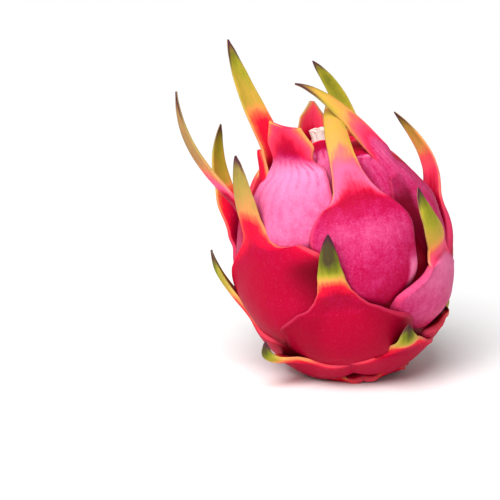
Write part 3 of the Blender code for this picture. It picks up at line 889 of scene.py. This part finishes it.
# Each pair says where an effect starts and where it is complete
STARTED = (0.01, 0.18)       # the ripeness of a row that leaves the shield's colour
BLUSH_IN = (0.06, 0.34)      # the stages where the blush comes and goes
BLUSH_OUT = (0.3, 0.54)
DULL_IN = (0.36, 0.6)
DRY_RUN = (0.91, 1.0)        # the runs of the dry tip
DRY_RIM = 0.08               # how much earlier the rims are dry
# places across the scale where the margins' painted highlight and painted shade lie
PAINTED_HIGHLIGHT_SPAN = (0.7, 0.86)       # places across the scale, from 0 in the middle to 1 at the rim
PAINTED_SHADE_RIGHT_SPAN = (0.3, 0.75)
PAINTED_SHADE_LEFT_SPAN = (0.15, 0.45)
FRECKLE = {"broad": 0.3, "blotch": 0.36, "fibres": 0.14, "speck": 0.35}  # how far each noise pales a shield


def read_skin(tree, s):
    """The attributes of a scale, and the noises that vary them."""
    names = ("across", "sideways", "crease", "hollow", *SKIN_NUMBERS)
    read = {name: attribute(tree, name) for name in names}
    place = add_node(tree, "ShaderNodeTexCoord").outputs["Object"]
    drawn = add_node(tree, "ShaderNodeCombineXYZ", {
        "X": read["sideways"], "Y": s.times(read["length"], FIBRE_DRAWN),
        "Z": s.times(read["seed"], FIBRE_STEP)}).outputs[0]
    read["fibres"] = s.noise(drawn, FIBRE_WAVES, 3)
    read["broad"] = s.noise(place, BROAD_WAVES, 3)
    read["blotch"], read["rough"] = grain(
        tree, place, BLOTCH_WAVES, harshness=0.6, dullness=0.48, variation=0.22)
    read["speck"] = s.noise(place, SPECK_WAVES, 2, SPECK_HARSHNESS)
    read["far_out"] = s.maths("ABSOLUTE", read["across"])
    read["started"] = s.smooth(read["ripe"], *STARTED)
    return read


def ripe_stage(s, read):
    """How ripe a place is: its row's ripeness, shifted by the distance from the middle and by noise."""
    centre = s.add(0.5, s.sway(read["ripe"], CENTRE_SPREAD))
    margin = s.add(MARGIN_START, s.sway(read["ripe"], MARGIN_SPREAD), read["edging"])
    power = s.add(RIM_POWER, s.times(read["blush"], BLUSH_POWER))
    outward = s.maths("POWER", read["far_out"], power)
    stage = s.add(s.mix(outward, centre, margin), s.sway(read["broad"], BROAD_SHIFT, read["started"]),
                  s.sway(read["fibres"], FIBRE_SHIFT, read["started"]))
    return s.times(stage, read["started"])


def painted_light_tint(s, read):
    """The painted light of the margins: painted shade below 0 and a painted pale highlight above it."""
    leftward = s.times(read["across"], -1)
    return s.add(
        s.times(s.maths("MAXIMUM", read["hem_right"], 0), s.smooth(read["across"], *PAINTED_HIGHLIGHT_SPAN)),
        s.times(s.maths("MINIMUM", read["hem_right"], 0), s.smooth(read["across"], *PAINTED_SHADE_RIGHT_SPAN)),
        s.times(s.maths("MINIMUM", read["hem_left"], 0), s.smooth(leftward, *PAINTED_SHADE_LEFT_SPAN)))


def blade_colour(tree, s, read, stage):
    """Red, orange, olive and green by stage, with a peachy blush, a dull ripe end and a dry tip."""
    blade = ramp(tree, stage, CENTRE_COLOURS)
    blushing = s.times(read["blush"], s.less(1, s.smooth(stage, *BLUSH_OUT)), s.smooth(stage, *BLUSH_IN))
    blade = mixed(tree, blushing, blade, PEACH_PINK)
    blade = mixed(tree, s.times(read["dull"], s.smooth(stage, *DULL_IN)), blade, MUTED_ROSE)
    dry = s.smooth(s.add(read["run"], s.times(s.maths("POWER", read["far_out"], 3), DRY_RIM)), *DRY_RUN)
    return mixed(tree, s.times(dry, read["started"]), blade, DRY_TIP)


def belly_colour(tree, s, read, hem):
    """Deep magenta to pale pink on the shield, by how washed-out it is, with the margins' painted highlight
    and painted shade in the pleats' creases.
    """
    washed = s.add(s.times(read["pale"], s.less(1.05, s.times(0.35, read["far_out"], read["far_out"]))),
                   # the painted highlight of the margins pales the shield
                   s.maths("MAXIMUM", hem, 0),
                   *(s.sway(read[name], amount) for name, amount in FRECKLE.items()),
                   # painted shade in the pleats' creases
                   s.times(read["crease"], -0.5))
    belly = mixed(tree, s.smooth(washed, -0.1, 0.5), DEEP_MAGENTA, MAGENTA)
    return mixed(tree, s.smooth(washed, 0.15, 1.2), belly, PALE_PINK)


print("noises at", FIBRE_WAVES, BROAD_WAVES, BLOTCH_WAVES, "and", SPECK_WAVES, "waves a metre")

# %% The skin
DARKEST = 0.92               # how far the deepest shade goes towards the dark of a crevice
SPECK_TINT = 0.06
RIM_AND_HIGHLIGHT_TINT = 0.5
TAKEOVER = (0.02, 0.24)      # the stages where the blade's colour takes over from the shield's
PALE_SPECKS = (0.56, 0.74)   # the part of the specks' noise that is tinted
RIM_ACROSS = (0.93, 0.985)
RIM_RUN = (0.16, 0.3)
SCALE_HOLLOW = (0.36, 0.92)


def skin_material():
    material, tree, shader = new_material("scale_skin", **FLESH)
    s = Sums(tree)
    read = read_skin(tree, s)
    stage = ripe_stage(s, read)
    hem = painted_light_tint(s, read)
    belly = belly_colour(tree, s, read, hem)
    colour = mixed(tree, s.smooth(stage, *TAKEOVER), belly, blade_colour(tree, s, read, stage))
    colour = mixed(tree, s.times(s.smooth(read["speck"], *PALE_SPECKS), SPECK_TINT), colour, PALE_PINK)
    # the rims' riper colour and partly a painted highlight along them, dimmed where the margins get painted
    # shade
    edge = s.times(s.smooth(read["far_out"], *RIM_ACROSS), s.smooth(read["run"], *RIM_RUN), RIM_AND_HIGHLIGHT_TINT,
                   s.add(1, s.maths("MINIMUM", hem, 0)))
    colour = mixed(tree, edge, colour, ramp(tree, stage, RIM_AND_HIGHLIGHT_COLOURS))
    # painted shade in the hollows that the rays found
    hollow = shade_of(tree, read["hollow"], *SCALE_HOLLOW, DARKEST)
    # painted shade: the hollows' shade joined with the dark margins, held off rows whose left margin value
    # is above 0
    shade = s.maths("MAXIMUM", hollow, s.times(hem, -DARKEST))
    shade = s.times(shade, s.less(1, s.maths("MAXIMUM", read["hem_left"], 0)))
    colour = mixed(tree, shade, colour, CREVICE_SHADE)
    height = s.add(s.times(read["blotch"], 0.7), s.times(read["speck"], 0.22),
                   s.times(read["fibres"], s.add(0.25, s.times(read["started"], 0.5))))
    rough = s.add(read["rough"], s.times(read["started"], 0.06))
    dress(tree, shader, colour, rough, height, strength=0.55, depth=0.35 * MM)
    return material


scale_skin = skin_material()
print("material:", scale_skin.name)

# %% [markdown]
# ## Grow all the scales
# Each guide gets the tree as a modifier. The evaluated result becomes a plain mesh, and the scales of
# a ring are joined into one piece, which replaces the solid of the packed model.

# %% Grow and join
SHARP_ANGLE = math.radians(50)
PLEATS_PER_MM = 0.55         # pleats for each millimetre of half width


def set_input(modifier, name, value):
    """Sets a modifier's input by its socket's identifier."""
    sockets = modifier.node_group.interface.items_tree
    identifier = next(item.identifier for item in sockets if item.name == name and item.in_out == "INPUT")
    modifier[identifier] = value


def grown(scale, number):
    """The fine mesh of one scale."""
    guide = add_object(scale.name, guide_mesh(scale, number))
    modifier = guide.modifiers.new("Grow", "NODES")
    modifier.node_group = scale_tree
    set_input(modifier, "Points Round", POINTS_ROUND)
    set_input(modifier, "Pleats", scale.half_width * PLEATS_PER_MM)
    set_input(modifier, "Skin", scale_skin)
    graph = bpy.context.evaluated_depsgraph_get()
    mesh = bpy.data.meshes.new_from_object(guide.evaluated_get(graph))
    guide.modifiers.clear()
    bpy.data.objects.remove(guide)
    return mesh


def finished(name, shape, material):
    """A smooth object of one material from a bmesh."""
    mesh = bpy.data.meshes.new(name)
    shape.to_mesh(mesh)
    shape.free()
    mesh.materials.append(material)
    mesh.shade_smooth()
    mesh.set_sharp_from_angle(angle=SHARP_ANGLE)
    return add_object(name, mesh)


def joined(name, meshes):
    """One object from several meshes, with its faces outwards, kept within the packed model's box."""
    shape = bmesh.new()
    for mesh in meshes:
        one = bmesh.new()
        one.from_mesh(mesh)
        if one.calc_volume(signed=True) < 0:
            bmesh.ops.reverse_faces(one, faces=one.faces)
        one.to_mesh(mesh)
        one.free()
        shape.from_mesh(mesh)
        bpy.data.meshes.remove(mesh)
    for vert in shape.verts:
        vert.co = [min(max(x, low), high) for x, low, high in zip(vert.co, *cad_box)]
    return finished(name, shape, scale_skin)


number = 0
skin_pieces = []
for ring_name, scales in RINGS.items():
    meshes = []
    for scale in scales:
        number += 1
        meshes.append(grown(scale, number))
    piece = joined(ring_name, meshes)
    skin_pieces.append(piece)
    print(ring_name, len(piece.data.polygons), "faces")

# %% [markdown]
# ## The body between the scales
# The egg shows in narrow gaps and round the navel, where the skin dips to the flower's foot. It is
# turned like a pot: rings of points at each latitude, then down the navel's wall to its floor.

# %% Turn the body
BODY_RINGS = 90
BODY_SIDES = 128
BODY_LUMP = 0.5 * MM
LOWEST_LATITUDE = -88


def ring_about_axis(radius, height, sides):
    turns = (2 * math.pi * k / sides for k in range(sides))
    return [leaned((radius * math.cos(a), radius * math.sin(a), height)) for a in turns]


def lofted(name, rings, material, lump=0.0):
    """A closed skin over rings of equal length, with soft lumps."""
    shape = bmesh.new()
    loops = []
    for ring in rings:
        loop = []
        for point in ring:
            place = point + BODY_CENTRE
            push = lump * noise.noise(place / LUMP_SIZE)
            loop.append(shape.verts.new(place + point.normalized() * push))
        loops.append(loop)
    for low, high in zip(loops, loops[1:]):
        for k in range(len(low)):
            after = (k + 1) % len(low)
            shape.faces.new((low[k], low[after], high[after], high[k]))
    shape.faces.new(loops[0][::-1])
    shape.faces.new(loops[-1])
    bmesh.ops.recalc_face_normals(shape, faces=shape.faces)
    for vert in shape.verts:
        vert.co.z = max(vert.co.z, 0)
    return finished(name, shape, material)


# below this height the body is painted in shade: deep magenta, and dark sooner in its hollows
PAINTED_SHADE_LINE = 100 * MM        # the body is bright red above this height, and dark in its gaps below it
PAINTED_SHADE_BLEND = 4 * MM
WALL_RINGS = 6
WALL_CURVE = 1.2             # over 1 rounds the top of the navel's wall
# the two spans of hollow depth that get painted shade: below the shade line, and anywhere
LOW_HOLLOW = (0.2, 0.5)      # the hollows that go dark below the glow, and anywhere
BODY_HOLLOW = (0.42, 0.98)


def body_material():
    material, tree, shader = new_material("body_skin", **FLESH)
    s = Sums(tree)
    place = add_node(tree, "ShaderNodeTexCoord").outputs["Object"]
    fine, rough = grain(tree, place, waves=700, harshness=0.6, dullness=0.4, variation=0.3)
    colour = ramp(tree, s.add(s.noise(place, 120, 3), s.sway(fine, 0.3)), BODY_COLOURS)
    height = add_node(tree, "ShaderNodeSeparateXYZ", {"Vector": place}).outputs["Z"]
    # painted shade: deep magenta below the shade line, and crevice shade in the hollows
    above_shade_line = s.smooth(height, PAINTED_SHADE_LINE - PAINTED_SHADE_BLEND, PAINTED_SHADE_LINE)
    colour = mixed(tree, above_shade_line, DEEP_MAGENTA, colour)
    hollow = attribute(tree, "hollow")
    low_painted_shade = s.times(shade_of(tree, hollow, *LOW_HOLLOW), s.less(1, above_shade_line))
    shade = s.maths("MAXIMUM", low_painted_shade, shade_of(tree, hollow, *BODY_HOLLOW))
    dress(tree, shader, mixed(tree, shade, colour, CREVICE_SHADE), rough, fine, strength=0.5, depth=0.3 * MM)
    return material


span = NAVEL_LATITUDE - LOWEST_LATITUDE
latitudes = [LOWEST_LATITUDE + span * r / (BODY_RINGS - 1) for r in range(BODY_RINGS)]
body_rings = [ring_about_axis(*body_profile(latitude), BODY_SIDES) for latitude in latitudes]
rim_height = body_profile(NAVEL_LATITUDE)[1]
for k in range(1, WALL_RINGS + 1):
    share = k / WALL_RINGS
    radius = NAVEL_RADIUS + (NAVEL_FLOOR_RADIUS - NAVEL_RADIUS) * share
    body_rings.append(ring_about_axis(radius, rim_height - NAVEL_DEPTH * share ** WALL_CURVE, BODY_SIDES))
body = lofted("fruit_body", body_rings, body_material(), BODY_LUMP)
skin_pieces.append(body)
print("fruit_body", len(body.data.polygons), "faces")

# %% [markdown]
# ## Painted shade in the hollows
# Skin that lies sheltered under a scale is painted in deep crimson shade. To find it, a tree of nodes
# sends a few rays from every point of the skin: the more of them that hit another part of the fruit
# within reach, the deeper the hollow. The share is kept as an attribute, which the material reads.

# %% Measure the hollows
HOLLOW_RAYS = 20
HOLLOW_REACH = 11 * MM
RAY_START = 0.15 * MM        # how far off the skin a ray starts
BLUR_STEPS = 3


def ball_directions(count):
    """Directions spread evenly over a ball, along a spiral."""
    golden = math.pi * (3 - math.sqrt(5))
    for k in range(count):
        z = 1 - (2 * k + 1) / count
        flat = math.sqrt(1 - z * z)
        yield (flat * math.cos(golden * k), flat * math.sin(golden * k), z)


def hollow_tree():
    tree = bpy.data.node_groups.new("Measure hollows", "GeometryNodeTree")
    add_sockets(tree, "INPUT", ("Skin", "Geometry", None), ("Fruit", "Object", None),
                ("Reach", "Float", HOLLOW_REACH), ("Material", "Material", None))
    add_sockets(tree, "OUTPUT", ("Skin", "Geometry", None))
    entry = add_node(tree, "NodeGroupInput").outputs
    s = Sums(tree)
    around = add_node(tree, "GeometryNodeObjectInfo", {"Object": entry["Fruit"]}).outputs["Geometry"]
    position = add_node(tree, "GeometryNodeInputPosition").outputs[0]
    normal = add_node(tree, "GeometryNodeInputNormal").outputs[0]
    start = s.vectors(position, s.scaled(normal, RAY_START))
    hits = 0.0
    for direction in ball_directions(HOLLOW_RAYS):
        inputs = {"Target Geometry": around, "Source Position": start,
                  "Ray Direction": s.vectors(normal, direction), "Ray Length": entry["Reach"]}
        hits = s.maths("ADD", hits, add_node(tree, "GeometryNodeRaycast", inputs).outputs["Is Hit"])
    share = s.maths("DIVIDE", hits, HOLLOW_RAYS)
    soft = add_node(tree, "GeometryNodeBlurAttribute", {"Value": share, "Iterations": BLUR_STEPS},
                    data_type="FLOAT").outputs[0]
    end_tree(tree, stored(tree, entry["Skin"], "hollow", soft), entry["Material"])
    return tree


def whole_skin(pieces):
    """One mesh with all the skin, for the rays to hit."""
    shape = bmesh.new()
    for piece in pieces:
        shape.from_mesh(piece.data)
    mesh = bpy.data.meshes.new("whole_skin")
    shape.to_mesh(mesh)
    shape.free()
    return add_object("whole_skin", mesh)


measure = hollow_tree()
whole = whole_skin(skin_pieces)
for piece in skin_pieces:
    modifier = piece.modifiers.new("Hollows", "NODES")
    modifier.node_group = measure
    set_input(modifier, "Fruit", whole)
    set_input(modifier, "Reach", HOLLOW_REACH)
    set_input(modifier, "Material", piece.active_material)
for piece in skin_pieces:
    fine = bpy.data.meshes.new_from_object(piece.evaluated_get(bpy.context.evaluated_depsgraph_get()))
    piece.modifiers.clear()
    plain = piece.data
    piece.data = fine
    bpy.data.meshes.remove(plain)
    depths = [value.value for value in fine.attributes["hollow"].data]
    print(piece.name, "mean hollow", round(sum(depths) / len(depths), 2))
bpy.data.objects.remove(whole)

# %% [markdown]
# ## The flower's stub
# Where the flower withered and was trimmed off, a pale dry cup is left in the navel. Its wall is
# fluted and its edge is ragged.

# %% Make the stub
STUB_RADIUS = 7 * MM
STUB_HEIGHT = 12.5 * MM
STUB_GAP = 0.3 * MM
STUB_SIDES = 96
FLUTES = 11
FLUTE_DEPTH = 0.1
STUB_BEND = 2 * MM
RAGGED_EDGE = 0.06 * STUB_HEIGHT
STUB_OUTLINE = [(0.78, 0), (0.95, 0.12), (1, 0.35), (0.9, 0.6), (0.95, 0.86), (0.85, 0.87), (0.62, 0.86),
                (0.5, 0.6)]  # shares of the radius and of the height, up the outside and down the inside


def stub_rings():
    """Fluted rings whose upper ones wander up and down."""
    foot = rim_height - NAVEL_DEPTH + STUB_GAP
    for wide, rise in STUB_OUTLINE:
        ring = []
        for k in range(STUB_SIDES):
            a = 2 * math.pi * k / STUB_SIDES
            flute = 1 - FLUTE_DEPTH * min(1, rise * 3) * (0.5 + 0.5 * math.cos(FLUTES * a + 2 * rise))
            wander = noise.noise(Vector((3 * math.cos(a), 3 * math.sin(a), 2)))
            ragged = RAGGED_EDGE * wander * (rise > 0.5)
            radius = STUB_RADIUS * wide * flute
            ring.append(leaned((radius * math.cos(a) - STUB_BEND * rise, radius * math.sin(a),
                                foot + STUB_HEIGHT * rise + ragged)))
        yield ring


def withered_material():
    material, tree, shader = new_material("withered_skin", Subsurface_Weight=0.2, Subsurface_Scale=2 * MM)
    s = Sums(tree)
    place = add_node(tree, "ShaderNodeTexCoord").outputs["Object"]
    fine, rough = grain(tree, place, waves=900, harshness=0.65, dullness=0.6, variation=0.3)
    broad = s.noise(place, 220, 3)
    colour = ramp(tree, s.add(s.times(broad, 0.6), s.times(fine, 0.4)), STUB_COLOURS)
    dress(tree, shader, colour, rough, fine, strength=0.8, depth=0.4 * MM)
    return material


stub = lofted("withered_stub", list(stub_rings()), withered_material())
print("withered_stub", len(stub.data.polygons), "faces")

# %% [markdown]
# ## Riding and replacing
# Every skin piece moves with the one body of the packed model and stands in for its plain solid.

# %% Tie the pieces to the frame
for piece in skin_pieces:
    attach(piece, "root")
    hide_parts("fruit")
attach(stub, "root")
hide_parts("flower_stub")

# %% [markdown]
# ## Floor and light
# The photograph has a white ground and soft light from the upper left and front, with a bright room
# all round. A pale floor, a bright world, a broad soft sun and one large area lamp do the same.

# %% Floor, world and lamps
FLOOR_REACH = 8
FLOOR_GREY = (0.9, 0.9, 0.9, 1)
WHITE = (1, 1, 1, 1)
SKY = 0.4
SUN = 3.0
SUN_BREADTH = math.radians(40)
SUN_PLACE = (-0.2, -0.6, 0.85)
KEY_WATTS = 2.5
KEY_SIZE = 0.35
KEY_PLACE = (-0.4, -0.6, 0.5)

floor_shape = bmesh.new()
bmesh.ops.create_grid(floor_shape, x_segments=1, y_segments=1, size=FLOOR_REACH)
floor_mesh = bpy.data.meshes.new("floor")
floor_shape.to_mesh(floor_mesh)
floor_shape.free()
floor_material, _, floor_shader = new_material("floor_paper", Roughness=0.9)
floor_shader.inputs["Base Color"].default_value = FLOOR_GREY
floor_mesh.materials.append(floor_material)
floor = add_object("floor", floor_mesh)

world = bpy.data.worlds.new("studio")
world.use_nodes = True
background = world.node_tree.nodes["Background"]
background.inputs["Color"].default_value = WHITE
background.inputs["Strength"].default_value = SKY
bpy.context.scene.world = world


def lamp_object(name, kind, place, power):
    """A lamp that faces the fruit."""
    lamp = bpy.data.lights.new(name, kind)
    lamp.energy = power
    thing = add_object(name, lamp)
    thing.location = place
    thing.rotation_euler = (BODY_CENTRE - Vector(place)).to_track_quat("-Z", "Y").to_euler()
    return lamp


sun = lamp_object("sky_window", "SUN", SUN_PLACE, SUN)
sun.angle = SUN_BREADTH
key = lamp_object("key", "AREA", KEY_PLACE, KEY_WATTS)
key.size = KEY_SIZE
bpy.context.scene.view_settings.view_transform = "Standard"
print("lamps:", len([thing for thing in bpy.data.objects if thing.type == "LIGHT"]))

# %% [markdown]
# ## The size
# The scales' pieces are kept inside the packed model's box as they are joined.
